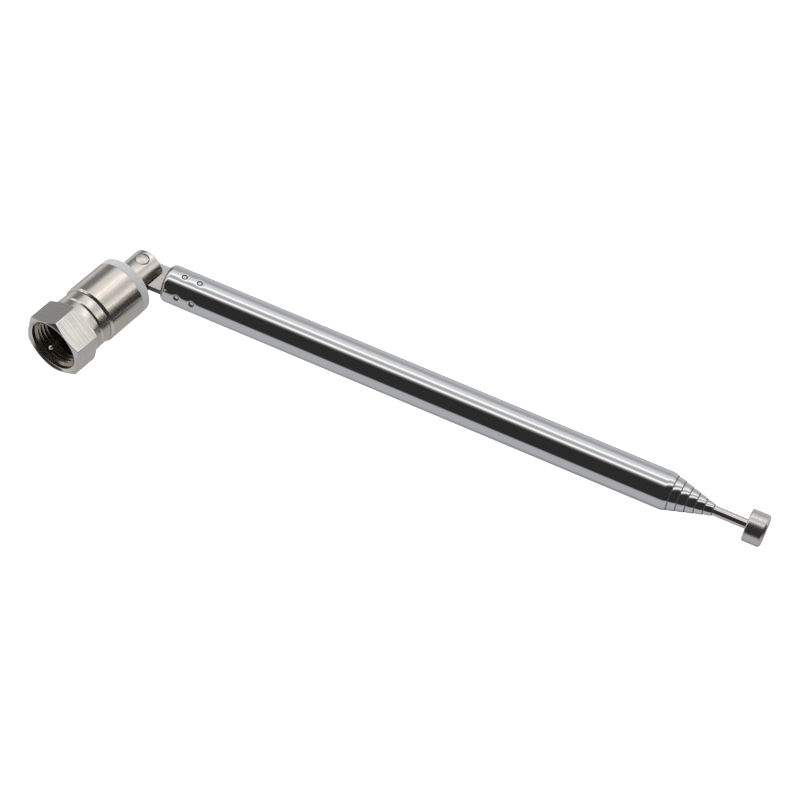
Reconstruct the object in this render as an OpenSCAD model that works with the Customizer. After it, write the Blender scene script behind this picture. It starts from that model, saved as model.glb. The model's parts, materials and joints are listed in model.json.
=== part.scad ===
// Telescopic whip antenna on a swivelling elbow with a screw-on coaxial plug.
// Millimetres. The origin is the centre of the coupling nut's front face.
// +X runs along the plug towards the elbow, +Z is the elbow's hinge pin.

/* [Coupling nut] */
// Width of the hexagon across its flats
nut_af = 11; // [10.9:0.05:11.2]
// Length of the hexagon
hex_len = 5.7; // [5.4:0.1:6]
// Radius of the flat ring left at the mouth by the hexagon's chamfer
nut_face_r = 5.5; // [5.4:0.05:5.5]
// Turn of the hexagon's top corner about the plug's axis
nut_turn = -5.5; // [-30:0.5:30]
// Radius of the round collar behind the hexagon
collar_r = 5.35; // [5.2:0.05:5.4]
// Length of the nut, hexagon and collar
nut_len = 7.25; // [7.2:0.05:7.35]
// Radius of the countersink at the front face
mouth_r = 5.3; // [5.2:0.05:5.35]
// Radius of the smooth counterbore at the mouth
counterbore_r = 4.85; // [4.8:0.05:4.95]
// Depth of the smooth counterbore
counterbore_len = 0.9; // [0.6:0.1:1.2]
// Largest radius of the inner thread
thread_major_r = 4.76; // [4.7:0.01:4.8]
// Smallest radius of the inner thread
thread_minor_r = 4.35; // [4.3:0.01:4.4]
// Distance from one thread groove to the next
thread_pitch = 0.79; // [0.7:0.01:0.9]

/* [Plug] */
// Distance from the nut's front face to the seat that meets the jack
seat_x = 5.3; // [5:0.1:5.4]
// Radius of the flange that holds the nut
flange_r = 3.9; // [3.7:0.1:4.1]
// Radius of the neck that the nut turns on
neck_r = 3; // [2.9:0.1:3.1]
// Radius of the centre contact where it stands free
contact_r = 0.45; // [0.4:0.01:0.5]
// Length of the centre contact that stands proud of the mouth
contact_proud = 0.5; // [0.2:0.1:1]
// Radius of the body's ring behind the nut
ring_r = 5.3; // [5.2:0.05:5.4]
// Rear end of the body's ring
ring_end_x = 9.48; // [9.2:0.02:9.5]
// Outer radius of the shell and of the insulator
shell_r = 5.65; // [5.5:0.05:5.7]
// Front end of the shell
shell_x = 9.56; // [9.54:0.02:9.9]
// Rear end of the shell, where the insulator begins
shell_end_x = 17.7; // [17.5:0.05:17.9]
// Rear face of the insulator
insulator_end_x = 19.6; // [19.45:0.05:19.65]

/* [Elbow] */
// Distance from the nut's front face to the hinge pin
hinge_x = 23.75; // [23.65:0.05:24]
// Radius of the swivelling knuckle
knuckle_r = 3.3; // [3.25:0.05:3.35]
// Length of the knuckle beyond the hinge pin
knuckle_nose = 2.2; // [2.1:0.1:2.6]
// Thickness of the flat tongue
tongue_t = 1.2; // [1:0.1:1.3]
// Width of the flat tongue
tongue_w = 5.8; // [5.4:0.1:5.8]
// Bend between the plug's axis and the whip
whip_bend = 77.5; // [0:0.5:90]

/* [Whip] */
// Radius of the widest tube
base_r = 3.5; // [3.5:0.02:3.54]
// Step in radius from one tube to the next
radius_step = 0.43; // [0.42:0.01:0.43]
// Wall thickness of every tube
wall = 0.25; // [0.24:0.01:0.25]
// Radius of the solid tip rod
rod_r = 0.92; // [0.88:0.01:0.92]
// Distance from the hinge pin to the start of the base tube
tube_start = 5.3; // [5.1:0.1:5.4]
// Distance from the hinge pin to the mouth of the base tube
tube_mouth = 102.4; // [90:0.1:130]
// Length by which each closed tube stands out of the next wider one
step_out = 1.5; // [1.4:0.02:1.8]
// Length of rod in sight between the last tube and the cap
rod_out = 6.05; // [5.8:0.05:7]
// Radius of the tip cap
cap_r = 2.95; // [2.6:0.05:3.2]
// Length of the tip cap
cap_len = 3.4; // [3:0.1:4]
// Distance from the hinge pin to the first row of crimp dimples
crimp_start = 8.6; // [8.4:0.1:9]
// Distance between the two rows of crimp dimples
crimp_gap = 3; // [2.6:0.1:3.2]
// Number of crimp dimples in each row
crimp_count = 5; // [4:1:8]

/* [Hidden] */
$fn = 96;

// Clearances
running = 0.05;
end_play = 0.05;
cut = 1;

// Coupling nut
hex_corner_r = nut_af / sqrt(3);
hex_chamfer = (hex_corner_r - nut_face_r) * tan(25);
edge = 0.15;
mouth_len = 0.3;
nut_wall_x = seat_x + 0.9;
thread_end_x = seat_x - 0.1;
undercut_r = thread_major_r + 0.05;
thread_turns = floor((thread_end_x - counterbore_len) / thread_pitch);
thread_depth = thread_major_r - thread_minor_r;
thread_root = thread_pitch / 8;

// Post, body and shell
flange_end_x = nut_wall_x - end_play;
neck_end_x = nut_len + end_play;
post_r = 2.6;
post_end_x = 11;
ring_chamfer = 0.2;
ring_chamfer_len = 0.3;
groove_r = 4.3;
shell_in_r = 4.9;
body_end_x = 13;
cavity_r = 3.2;
shell_chamfer = 0.33;
shell_chamfer_len = 0.4;

// Centre line parts inside the plug
dielectric_r = 1.6;
dielectric_x = seat_x + 0.3;
dielectric_end_x = 11.5;
dielectric_flange_r = 2.2;
contact_x = -contact_proud;
contact_tip_len = 0.4;
contact_tip_r = 0.2;
contact_core_r = 0.75;
contact_head_r = 1.2;
contact_head_end_x = 12.2;
coil_r = 0.85;
coil_wire_r = 0.15;
coil_turns = 5;
coil_sides = 8;
coil_steps = 20;
coil_gap = 0.02;

// Swivel stem and what holds it
stem_r = 1.6;
stem_x = 14.45;
stem_groove_r = 1.2;
stem_groove_x = 14.9;
stem_groove_len = 0.5;
clip_r = 2.8;
clip_t = 0.45;
clip_gap = 2;
spigot_r = shell_in_r;
spigot_x = 16;
spring_washer_r = 2.9;
spring_washer_t = 0.25;
knuckle_x = insulator_end_x + end_play;
knuckle_end_x = hinge_x + knuckle_nose;
slot_half = tongue_t / 2 + 0.3;
slot_x = hinge_x - tongue_w / 2 - 0.3;
knuckle_round = 0.35;
insulator_round = 0.5;

// Hinge rivet
rivet_r = 0.8;
rivet_head_r = 1.15;
rivet_head_h = 0.45;
rivet_brim = 0.2;
rivet_seat_r = 1.3;
rivet_seat_z = knuckle_r - 0.3;

// Whip
TUBES = 6;
ROD = TUBES + 1;
plug_x = tube_start + 0.6;
plug_end = 13.2;
plug_r = base_r - wall;
plug_chamfer = 0.4;
rim_len = 0.8;
rim_drop = 0.5;
lip_round = 1.2;
lip_power = 1.7;
lip_nose = 0.08;
lip_len = 1.3;
lip_flat = 0.6;
neck_len = 3.2;
neck_taper = 0.3;
neck_in = 0.2;
bottom_first = 14;
bottom_step = neck_len + neck_taper + 0.3;
rod_travel_in = 5.6;
spring_len = 3;
spring_slit = 0.3;
cap_chamfer = 0.35;
cap_bore_len = 2.5;
crimp_ball_r = 0.7;
crimp_depth = 0.2;
crimp_turn = 93;

// Outer radius of tube k, where 1 is the widest tube and ROD is the tip rod
function tube_r(k) = k == ROD ? rod_r : base_r - radius_step * (k - 1);
// Place of the mouth of tube k
function mouth(k) = tube_mouth + step_out * (k - 1);
// Place of the bottom end of tube k, for the tubes that slide
function bottom(k) = bottom_first + bottom_step * (k - 2) + (k == ROD ? rod_travel_in : 0);
// Points on an arc about [cx, cy]
function arc(cx, cy, r, a0, a1, n = 6) =
    [for (i = [0:n]) let (a = a0 + (a1 - a0) * i / n) [cx + r * cos(a), cy + r * sin(a)]];

// Turns a shape drawn along +Z so that it runs along the plug
module along_plug() {
    rotate([0, 90, 0])
        children();
}

// Turns a shape drawn along +Z so that it runs along the whip from the hinge pin
module along_whip() {
    translate([hinge_x, 0, 0])
        rotate([0, 0, -whip_bend])
            rotate([0, 90, 0])
                children();
}

// Round solid from an outline of [place along the axis, radius] points
module turned(outline) {
    rotate_extrude()
        polygon([for (p = outline) [p[1], p[0]]]);
}

// Plain round tube between two places along the axis
module sleeve(x0, x1, r_in, r_out) {
    turned([[x0, r_in], [x0, r_out], [x1, r_out], [x1, r_in]]);
}

// Hexagon with chamfered ends, round collar, thread grooves and the hole for the neck
module coupling_nut() {
    color("silver")
        along_plug()
            difference() {
                union() {
                    nut_hexagon();
                    turned([
                        [hex_len - edge, 0], [hex_len - edge, collar_r],
                        [nut_len - edge, collar_r], [nut_len, collar_r - edge], [nut_len, 0]
                    ]);
                }
                nut_bore();
                for (i = [0:thread_turns - 1])
                    thread_groove(counterbore_len + thread_pitch * (i + 0.5));
            }
}

module nut_hexagon() {
    intersection() {
        rotate([0, 0, -nut_turn])
            cylinder(r = hex_corner_r, h = hex_len, $fn = 6);
        turned([
            [0, 0], [0, nut_face_r], [hex_chamfer, hex_corner_r],
            [hex_len - hex_chamfer, hex_corner_r], [hex_len, nut_face_r], [hex_len, 0]
        ]);
    }
}

module nut_bore() {
    turned([
        [-cut, 0], [-cut, mouth_r], [0, mouth_r], [mouth_len, counterbore_r],
        [counterbore_len, counterbore_r], [counterbore_len + thread_depth, thread_minor_r],
        [thread_end_x, thread_minor_r], [thread_end_x, undercut_r], [nut_wall_x, undercut_r],
        [nut_wall_x, neck_r + running], [nut_len + cut, neck_r + running], [nut_len + cut, 0]
    ]);
}

module thread_groove(x) {
    half = thread_pitch / 2 - thread_root;
    turned([
        [x - half, thread_minor_r - edge], [x - half, thread_minor_r],
        [x - thread_root, thread_major_r], [x + thread_root, thread_major_r],
        [x + half, thread_minor_r], [x + half, thread_minor_r - edge]
    ]);
}

// Sleeve with the front flange that keeps the nut on and meets the jack
module flanged_post() {
    color("lightgray")
        along_plug()
            turned([
                [seat_x, dielectric_r], [seat_x, flange_r - edge], [seat_x + edge, flange_r],
                [flange_end_x, flange_r], [flange_end_x, neck_r], [neck_end_x, neck_r],
                [neck_end_x, post_r], [post_end_x, post_r], [post_end_x, dielectric_r]
            ]);
}

// Body with the visible ring, the dark groove behind it and the shank inside the shell
module plug_body() {
    color("silver")
        along_plug()
            turned([
                [neck_end_x, post_r], [neck_end_x, ring_r - ring_chamfer],
                [neck_end_x + ring_chamfer_len, ring_r], [ring_end_x, ring_r],
                [ring_end_x, groove_r], [shell_x, groove_r],
                [shell_x, shell_in_r], [body_end_x, shell_in_r], [body_end_x, cavity_r],
                [post_end_x, cavity_r], [post_end_x, post_r]
            ]);
}

// Outer shell, pressed over the body's shank at one end and the insulator at the other
module plug_shell() {
    color("silver")
        along_plug()
            turned([
                [shell_x, shell_in_r], [shell_x, shell_r - shell_chamfer],
                [shell_x + shell_chamfer_len, shell_r], [shell_end_x - edge, shell_r],
                [shell_end_x, shell_r - edge], [shell_end_x, shell_in_r]
            ]);
}

// Bead that holds the centre contact in the post
module front_insulator() {
    color("white")
        along_plug()
            turned([
                [dielectric_x, contact_core_r], [dielectric_x, dielectric_r],
                [post_end_x, dielectric_r], [post_end_x, dielectric_flange_r],
                [dielectric_end_x, dielectric_flange_r], [dielectric_end_x, contact_core_r]
            ]);
}

// Pin with a tapered tip, a core inside the bead and a head for the spring
module centre_contact() {
    color("khaki")
        along_plug()
            turned([
                [contact_x, 0], [contact_x, contact_tip_r],
                [contact_x + contact_tip_len, contact_r], [dielectric_x - edge, contact_r],
                [dielectric_x - edge, contact_core_r], [dielectric_end_x, contact_core_r],
                [dielectric_end_x, contact_head_r], [contact_head_end_x, contact_head_r],
                [contact_head_end_x, 0]
            ]);
}

// Coil spring that carries the signal from the centre contact to the turning stem
module contact_spring() {
    rise = stem_x - coil_gap - contact_head_end_x - 2 * coil_wire_r;
    rings = coil_turns * coil_steps;
    tilt = atan(rise / coil_turns / (2 * PI * coil_r));
    points = [for (i = [0:rings], j = [0:coil_sides - 1])
        let (
            a = 360 * i / coil_steps,
            b = 360 * j / coil_sides,
            out = coil_r + coil_wire_r * cos(b),
            up = coil_wire_r * sin(b)
        )
        [
            out * cos(a) + up * sin(tilt) * sin(a),
            out * sin(a) - up * sin(tilt) * cos(a),
            contact_head_end_x + coil_wire_r + rise * i / rings + up * cos(tilt)
        ]];
    sides = [for (i = [0:rings - 1], j = [0:coil_sides - 1])
        let (k = (j + 1) % coil_sides)
        [
            i * coil_sides + j, (i + 1) * coil_sides + j,
            (i + 1) * coil_sides + k, i * coil_sides + k
        ]];
    first_end = [for (j = [0:coil_sides - 1]) j];
    last_end = [for (j = [0:coil_sides - 1]) rings * coil_sides + coil_sides - 1 - j];
    color("goldenrod")
        along_plug()
            polyhedron(points = points, faces = concat([first_end], sides, [last_end]));
}

// White ring between the shell and the knuckle, with the bearing for the swivel stem
module rear_insulator() {
    color("white")
        along_plug()
            turned(concat(
                [
                    [spigot_x, stem_r + running], [spigot_x, spigot_r],
                    [shell_end_x, spigot_r], [shell_end_x, shell_r]
                ],
                [for (p = arc(0, 0, insulator_round, 90, 0))
                    [
                        insulator_end_x - insulator_round + p[0],
                        shell_r - insulator_round + p[1]
                    ]],
                [[insulator_end_x, stem_r + running]]
            ));
}

// Slotted knuckle on a stem that turns in the insulator
module swivel_knuckle() {
    slot_len = knuckle_end_x - slot_x + cut;
    groove_end_x = stem_groove_x + stem_groove_len;
    color("silver")
        difference() {
            along_plug()
                turned(concat(
                    [
                        [stem_x, 0], [stem_x, stem_r - edge], [stem_x + edge, stem_r],
                        [stem_groove_x, stem_r], [stem_groove_x, stem_groove_r],
                        [groove_end_x, stem_groove_r], [groove_end_x, stem_r],
                        [knuckle_x, stem_r], [knuckle_x, knuckle_r - edge],
                        [knuckle_x + edge, knuckle_r]
                    ],
                    [for (p = arc(0, 0, knuckle_round, 90, 0))
                        [
                            knuckle_end_x - knuckle_round + p[0],
                            knuckle_r - knuckle_round + p[1]
                        ]],
                    [[knuckle_end_x, 0]]
                ));
            translate([slot_x, -knuckle_r - cut, -slot_half])
                cube([slot_len, 2 * (knuckle_r + cut), 2 * slot_half]);
            translate([hinge_x, 0, -knuckle_r - cut])
                cylinder(r = rivet_r, h = 2 * (knuckle_r + cut));
            for (side = [0, 1])
                mirror([0, 0, side])
                    translate([hinge_x, 0, rivet_seat_z])
                        cylinder(r = rivet_seat_r, h = cut);
        }
}

// Open clip in the stem's groove
module retaining_clip() {
    color("dimgray")
        along_plug()
            difference() {
                sleeve(stem_groove_x, stem_groove_x + clip_t, stem_groove_r, clip_r);
                translate([0, -clip_gap / 2, stem_groove_x - cut])
                    cube([clip_r + cut, clip_gap, clip_t + 2 * cut]);
            }
}

// Dished washer that keeps the swivel stiff
module spring_washer() {
    x0 = stem_groove_x + clip_t;
    x1 = spigot_x - running;
    r0 = stem_r + running;
    color("gray")
        along_plug()
            turned([
                [x0, r0], [x0 + spring_washer_t, r0],
                [x1, spring_washer_r], [x1 - spring_washer_t, spring_washer_r]
            ]);
}

// Rivet through the ears and the tongue, with a domed head at each end
module hinge_rivet() {
    rise = rivet_head_h - rivet_brim;
    dome_r = (rivet_head_r * rivet_head_r + rise * rise) / (2 * rise);
    dome_angle = asin(rivet_head_r / dome_r);
    dome = arc(0, rivet_seat_z + rivet_head_h - dome_r, dome_r, 90 - dome_angle, 90);
    color("silver")
        translate([hinge_x, 0, 0]) {
            translate([0, 0, -rivet_seat_z])
                cylinder(r = rivet_r, h = 2 * rivet_seat_z);
            for (side = [0, 1])
                mirror([0, 0, side])
                    rotate_extrude()
                        polygon(concat([[0, rivet_seat_z], [rivet_head_r, rivet_seat_z]], dome));
        }
}

// Flat tongue with a round eye, and the plug that is crimped into the base tube
module elbow_tongue() {
    color("silver")
        difference() {
            union() {
                along_whip()
                    turned([
                        [plug_x, 0], [plug_x, plug_r], [plug_end - plug_chamfer, plug_r],
                        [plug_end, plug_r - plug_chamfer], [plug_end, 0]
                    ]);
                translate([hinge_x, 0, -tongue_t / 2])
                    rotate([0, 0, -whip_bend])
                        union() {
                            cylinder(d = tongue_w, h = tongue_t);
                            translate([0, -tongue_w / 2, 0])
                                cube([plug_x + edge, tongue_w, tongue_t]);
                        }
            }
            translate([hinge_x, 0, -tongue_t])
                cylinder(r = rivet_r + running, h = 2 * tongue_t);
        }
}

// Lip of tube k at its mouth, swaged in around the next narrower section
function lip(k) = let (drop = radius_step - running - lip_nose) concat(
    [for (i = [0:8]) let (u = i / 8)
        [mouth(k) - lip_nose - lip_round * (1 - u), tube_r(k) - drop * pow(u, lip_power)]],
    [
        [mouth(k), tube_r(k + 1) + running], [mouth(k) - lip_flat, tube_r(k + 1) + running],
        [mouth(k) - lip_len, tube_r(k) - wall]
    ]
);

// Widest tube, rolled over the plug at its start, with two rows of crimp dimples
module base_tube() {
    rim_in = base_r - rim_drop;
    rim = [for (p = arc(0, 0, 1, 180, 90, 8))
        [tube_start + rim_len * (1 + p[0]), rim_in + rim_drop * p[1]]];
    color("gainsboro")
        along_whip()
            difference() {
                turned(concat(
                    [[plug_x, rim_in]],
                    rim,
                    lip(1),
                    [[plug_x, base_r - wall]]
                ));
                for (row = [0, 1], i = [0:crimp_count - 1])
                    crimp_dimple(crimp_start + crimp_gap * row, crimp_turn + 360 * i / crimp_count);
            }
}

module crimp_dimple(s, turn) {
    rotate([0, 0, turn])
        translate([0, base_r + crimp_ball_r - crimp_depth, s])
            sphere(r = crimp_ball_r, $fn = 32);
}

// Sliding tube k: necked at its bottom for the spring, lipped at its mouth
module section(k) {
    r = tube_r(k);
    neck_end = bottom(k) + neck_len;
    shoulder = neck_end + neck_taper;
    color("gainsboro")
        along_whip()
            turned(concat(
                [
                    [bottom(k), r - wall - neck_in], [bottom(k), r - neck_in],
                    [neck_end, r - neck_in], [shoulder, r]
                ],
                lip(k),
                [[shoulder, r - wall], [neck_end, r - wall - neck_in]]
            ));
}

// Split brass sleeve on the neck of section k, which grips the tube around it
module section_spring(k) {
    start = bottom(k) + (neck_len - spring_len) / 2;
    r_in = tube_r(k) - neck_in;
    r_out = tube_r(k - 1) - wall - running;
    color("goldenrod")
        along_whip()
            difference() {
                sleeve(start, start + spring_len, r_in, r_out);
                translate([0, -spring_slit / 2, start - cut])
                    cube([r_out + cut, spring_slit, spring_len + 2 * cut]);
            }
}

// Solid rod, necked at its bottom and held in the cap
module tip_rod() {
    neck_end = bottom(ROD) + neck_len;
    cap_start = mouth(TUBES) + rod_out;
    color("gainsboro")
        along_whip()
            turned([
                [bottom(ROD), 0], [bottom(ROD), rod_r - neck_in], [neck_end, rod_r - neck_in],
                [neck_end + neck_taper, rod_r], [cap_start + cap_bore_len, rod_r],
                [cap_start + cap_bore_len, 0]
            ]);
}

// Cap with chamfered edges and the blind hole for the rod
module tip_cap() {
    cap_start = mouth(TUBES) + rod_out;
    cap_end = cap_start + cap_len;
    color("silver")
        along_whip()
            turned([
                [cap_start, rod_r], [cap_start, cap_r - edge], [cap_start + edge, cap_r],
                [cap_end - cap_chamfer, cap_r], [cap_end, cap_r - cap_chamfer], [cap_end, 0],
                [cap_start + cap_bore_len, 0], [cap_start + cap_bore_len, rod_r]
            ]);
}

coupling_nut();
flanged_post();
plug_body();
plug_shell();
front_insulator();
centre_contact();
contact_spring();
rear_insulator();
swivel_knuckle();
retaining_clip();
spring_washer();
hinge_rivet();
elbow_tongue();
base_tube();
section(2);  // section_2
section(3);  // section_3
section(4);  // section_4
section(5);  // section_5
section(6);  // section_6
tip_rod();
tip_cap();
section_spring(2);  // section_spring_2
section_spring(3);  // section_spring_3
section_spring(4);  // section_spring_4
section_spring(5);  // section_spring_5
section_spring(6);  // section_spring_6
section_spring(ROD);  // rod_spring
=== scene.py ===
"""Telescopic whip antenna on a swivelling elbow with a screw-on coaxial plug."""

import json
import math

import bmesh
import bpy
import numpy as np
from mathutils import Matrix, Vector


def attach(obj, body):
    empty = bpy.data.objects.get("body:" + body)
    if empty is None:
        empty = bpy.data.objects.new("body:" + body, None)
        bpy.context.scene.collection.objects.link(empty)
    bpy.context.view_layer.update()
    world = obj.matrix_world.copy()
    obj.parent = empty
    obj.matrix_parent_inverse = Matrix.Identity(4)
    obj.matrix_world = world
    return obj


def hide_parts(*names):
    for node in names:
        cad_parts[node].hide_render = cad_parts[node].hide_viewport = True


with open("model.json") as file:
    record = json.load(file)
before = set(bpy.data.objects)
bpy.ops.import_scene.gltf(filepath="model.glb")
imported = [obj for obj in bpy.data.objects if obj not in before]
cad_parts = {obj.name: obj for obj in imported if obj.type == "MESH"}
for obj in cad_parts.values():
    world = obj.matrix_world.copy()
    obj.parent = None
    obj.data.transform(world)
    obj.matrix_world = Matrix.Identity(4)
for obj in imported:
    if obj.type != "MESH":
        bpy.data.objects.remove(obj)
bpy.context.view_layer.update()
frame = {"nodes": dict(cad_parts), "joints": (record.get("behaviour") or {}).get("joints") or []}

MM = 0.001
UP = Vector((0, 0, 1))


# ---------------------------------------------------------------- measuring the frame


class Axis:
    """A line through the object, with directions to measure radius and turn from."""

    def __init__(self, origin, along):
        self.origin = Vector(origin)
        self.along = Vector(along).normalized()
        self.up = UP
        self.side = self.up.cross(self.along)

    def point(self, s, r, a):
        """The point s mm along, r mm out, at angle a from side towards up."""
        out = self.side * math.cos(a) + self.up * math.sin(a)
        return self.origin + (self.along * s + out * r) * MM

    def span(self, node):
        """Start, end and largest radius of a CAD node about this axis, in mm."""
        co = np.array([v.co for v in frame["nodes"][node].data.vertices])
        rel = (co - np.array(self.origin)) / MM
        s = rel @ np.array(self.along)
        r = np.linalg.norm(rel - np.outer(s, np.array(self.along)), axis=1)
        return s.min(), s.max(), r.max()


joints = {j["name"]: j for j in frame["joints"]}
PLUG = Axis((0, 0, 0), joints["swivel_turn"]["axis"])
WHIP = Axis(joints["elbow_bend"]["pos_m"], joints["slide_2"]["axis"])
PIN = Axis(joints["elbow_bend"]["pos_m"], joints["elbow_bend"]["axis"])
PIN.side, PIN.up = Vector((1, 0, 0)), Vector((0, 1, 0))


# ---------------------------------------------------------------- mesh building

ARC_STEPS = 4
TURN_STEPS = 192
SHARP_ANGLE = math.radians(28)
BEVEL_ANGLE = math.radians(35)
SAME_PLACE = 1e-8
ON_AXIS = 1e-6


def rounded(points, steps=ARC_STEPS, loop=False):
    """A line through (s, r, fillet) points, with each corner rounded by its fillet radius."""
    count = len(points)
    out = []
    for i, (x, y, fillet) in enumerate(points):
        ends = i in (0, count - 1) and not loop
        if ends or not fillet:
            out.append((x, y))
            continue
        here = Vector((x, y))
        before = Vector(points[i - 1][:2]) - here
        after = Vector(points[(i + 1) % count][:2]) - here
        half = before.angle(after) / 2
        reach = min(fillet / math.tan(half), before.length * 0.49, after.length * 0.49)
        radius = reach * math.tan(half)
        middle = (before.normalized() + after.normalized()).normalized()
        centre = here + middle * (radius / math.sin(half))
        first = here + before.normalized() * reach - centre
        last = here + after.normalized() * reach - centre
        turn = first.angle_signed(last)
        for k in range(steps + 1):
            a = -turn * k / steps
            c, s = math.cos(a), math.sin(a)
            out.append((centre.x + first.x * c - first.y * s, centre.y + first.x * s + first.y * c))
    return out


def supported(points, gap=0.04, least=0.35):
    """Adds points near both ends of each long stretch, which keep its shading straight."""
    out = []
    for i, point in enumerate(points):
        here, after = Vector(point), Vector(points[(i + 1) % len(points)])
        out.append(point)
        step = after - here
        if step.length > least and min(here.y, after.y) > ON_AXIS:
            out.append(tuple(here + step.normalized() * gap))
            out.append(tuple(after - step.normalized() * gap))
    return out


def weigh_normals(piece):
    """Turns the normals of each large face true, so that reflections on it run straight."""
    weighted = piece.modifiers.new("weighted", "WEIGHTED_NORMAL")
    weighted.mode = "FACE_AREA"
    weighted.weight = 100
    weighted.keep_sharp = True
    bpy.context.view_layer.update()
    graph = bpy.context.evaluated_depsgraph_get()
    plain = piece.data
    name = plain.name
    piece.data = bpy.data.meshes.new_from_object(piece.evaluated_get(graph))
    piece.modifiers.clear()
    bpy.data.meshes.remove(plain)
    piece.data.name = name


def finish_mesh(name, bm, body, material, nodes):
    """Turns a bmesh into a smooth-shaded piece that rides on a body and stands for CAD nodes."""
    bmesh.ops.remove_doubles(bm, verts=bm.verts, dist=SAME_PLACE)
    bmesh.ops.recalc_face_normals(bm, faces=bm.faces)
    mesh = bpy.data.meshes.new(name)
    bm.to_mesh(mesh)
    bm.free()
    mesh.shade_smooth()
    mesh.set_sharp_from_angle(angle=SHARP_ANGLE)
    mesh.materials.append(material)
    piece = bpy.data.objects.new(name, mesh)
    bpy.context.scene.collection.objects.link(piece)
    weigh_normals(piece)
    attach(piece, body)
    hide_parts(*nodes)
    return piece


def even_angles(steps=TURN_STEPS):
    """Angles that share out a full turn."""
    return [2 * math.pi * i / steps for i in range(steps)]


def revolve(axis, outline, angles=None, bend=None):
    """A bmesh turned from an outline: closed if the outline starts and ends off the axis.

    outline is a list of (s, r), or a function of the angle that gives one.
    bend(s, r, a) may move a point and returns its new (s, r).
    """
    angles = angles or even_angles()
    bm = bmesh.new()
    columns = []
    poles = {}
    for a in angles:
        points = outline(a) if callable(outline) else supported(outline)
        column = []
        for i, (s, r) in enumerate(points):
            if r < ON_AXIS:
                if i not in poles:
                    poles[i] = bm.verts.new(axis.point(s, 0, 0))
                column.append(poles[i])
            else:
                if bend:
                    s, r = bend(s, r, a)
                column.append(bm.verts.new(axis.point(s, r, a)))
        columns.append(column)
    rows = len(columns[0])
    last = rows - 1 if poles else rows
    for i, column in enumerate(columns):
        after = columns[(i + 1) % len(columns)]
        for k in range(last):
            m = (k + 1) % rows
            corners = [column[k], column[m], after[m], after[k]]
            face = list(dict.fromkeys(corners))
            if len(face) > 2:
                bm.faces.new(face)
    return bm


def cut_with(bm, cutters):
    """The bmesh less each cutter bmesh, by exact boolean."""
    return combine(bm, cutters, "DIFFERENCE")


def combine(bm, others, operation):
    """The bmesh joined with, or cut by, each other bmesh, by exact boolean."""
    scene = bpy.context.scene
    mesh = bpy.data.meshes.new("work")
    bmesh.ops.recalc_face_normals(bm, faces=bm.faces)
    bm.to_mesh(mesh)
    bm.free()
    obj = bpy.data.objects.new("work", mesh)
    scene.collection.objects.link(obj)
    helpers = []
    for other in others:
        bmesh.ops.recalc_face_normals(other, faces=other.faces)
        other_mesh = bpy.data.meshes.new("work_other")
        other.to_mesh(other_mesh)
        other.free()
        helper = bpy.data.objects.new("work_other", other_mesh)
        scene.collection.objects.link(helper)
        helpers.append(helper)
        mod = obj.modifiers.new("boolean", "BOOLEAN")
        mod.operation = operation
        mod.solver = "EXACT"
        mod.object = helper
    bpy.context.view_layer.update()
    graph = bpy.context.evaluated_depsgraph_get()
    result = bmesh.new()
    result.from_mesh(obj.evaluated_get(graph).to_mesh())
    for o in [obj] + helpers:
        data = o.data
        bpy.data.objects.remove(o)
        bpy.data.meshes.remove(data)
    return result


def soften(bm, width, segments=2):
    """Bevels the sharp edges of a bmesh by a width in mm."""
    edges = [e for e in bm.edges if len(e.link_faces) == 2 and e.calc_face_angle() > BEVEL_ANGLE]
    bmesh.ops.bevel(
        bm, geom=edges, offset=width * MM, segments=segments, affect="EDGES", profile=0.5,
        clamp_overlap=True,
    )
    return bm


def box_mesh(low, high):
    """A box between two corners, in mm."""
    bm = bmesh.new()
    bmesh.ops.create_cube(bm, size=1)
    low, high = Vector(low), Vector(high)
    for v in bm.verts:
        v.co = Vector(
            low[k] + (high[k] - low[k]) * (v.co[k] + 0.5) for k in range(3)
        ) * MM
    return bm


# ---------------------------------------------------------------- materials


class Nodes:
    """Small helper for building a shader tree."""

    def __init__(self, tree):
        self.tree = tree

    def add(self, kind, inputs=None, **settings):
        """A new node, with each input linked to a socket or set to a value."""
        node = self.tree.nodes.new(kind)
        for key, value in settings.items():
            setattr(node, key, value)
        for key, value in (inputs or {}).items():
            if isinstance(value, bpy.types.NodeSocket):
                self.tree.links.new(value, node.inputs[key])
            else:
                node.inputs[key].default_value = value
        return node

    def math(self, operation, a, b=0.0):
        """The output of a Math node."""
        node = self.add("ShaderNodeMath", {0: a, 1: b}, operation=operation)
        return node.outputs[0]

    def ramp(self, factor, stops):
        """A colour that follows (place, colour) stops."""
        node = self.add("ShaderNodeValToRGB", {"Fac": factor})
        elements = node.color_ramp.elements
        while len(elements) < len(stops):
            elements.new(0.5)
        for element, (place, colour) in zip(elements, stops):
            element.position = place
            element.color = (*colour, 1)
        return node.outputs["Color"]


def principled(name, base, metallic, roughness, **more):
    """A new material, its node helper and its shader."""
    material = bpy.data.materials.new(name)
    material.use_nodes = True
    tree = material.node_tree
    shader = tree.nodes["Principled BSDF"]
    shader.inputs["Base Color"].default_value = (*base, 1)
    shader.inputs["Metallic"].default_value = metallic
    shader.inputs["Roughness"].default_value = roughness
    for key, value in more.items():
        shader.inputs[key.replace("_", " ")].default_value = value
    return material, Nodes(tree), shader


def directions(n, axis):
    """Places along an axis, and across it, of the shaded point, in mm at rest."""
    place = n.add("ShaderNodeTexCoord").outputs["Object"]
    rel = n.add("ShaderNodeVectorMath", {0: place, 1: axis.origin}, operation="SUBTRACT")
    mm = n.add("ShaderNodeVectorMath", {0: rel.outputs[0], "Scale": 1 / MM}, operation="SCALE")
    parts = []
    for direction in (axis.along, axis.side, axis.up):
        dot = n.add("ShaderNodeVectorMath", {0: mm.outputs[0], 1: direction},
                    operation="DOT_PRODUCT")
        parts.append(dot.outputs["Value"])
    return parts


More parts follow.
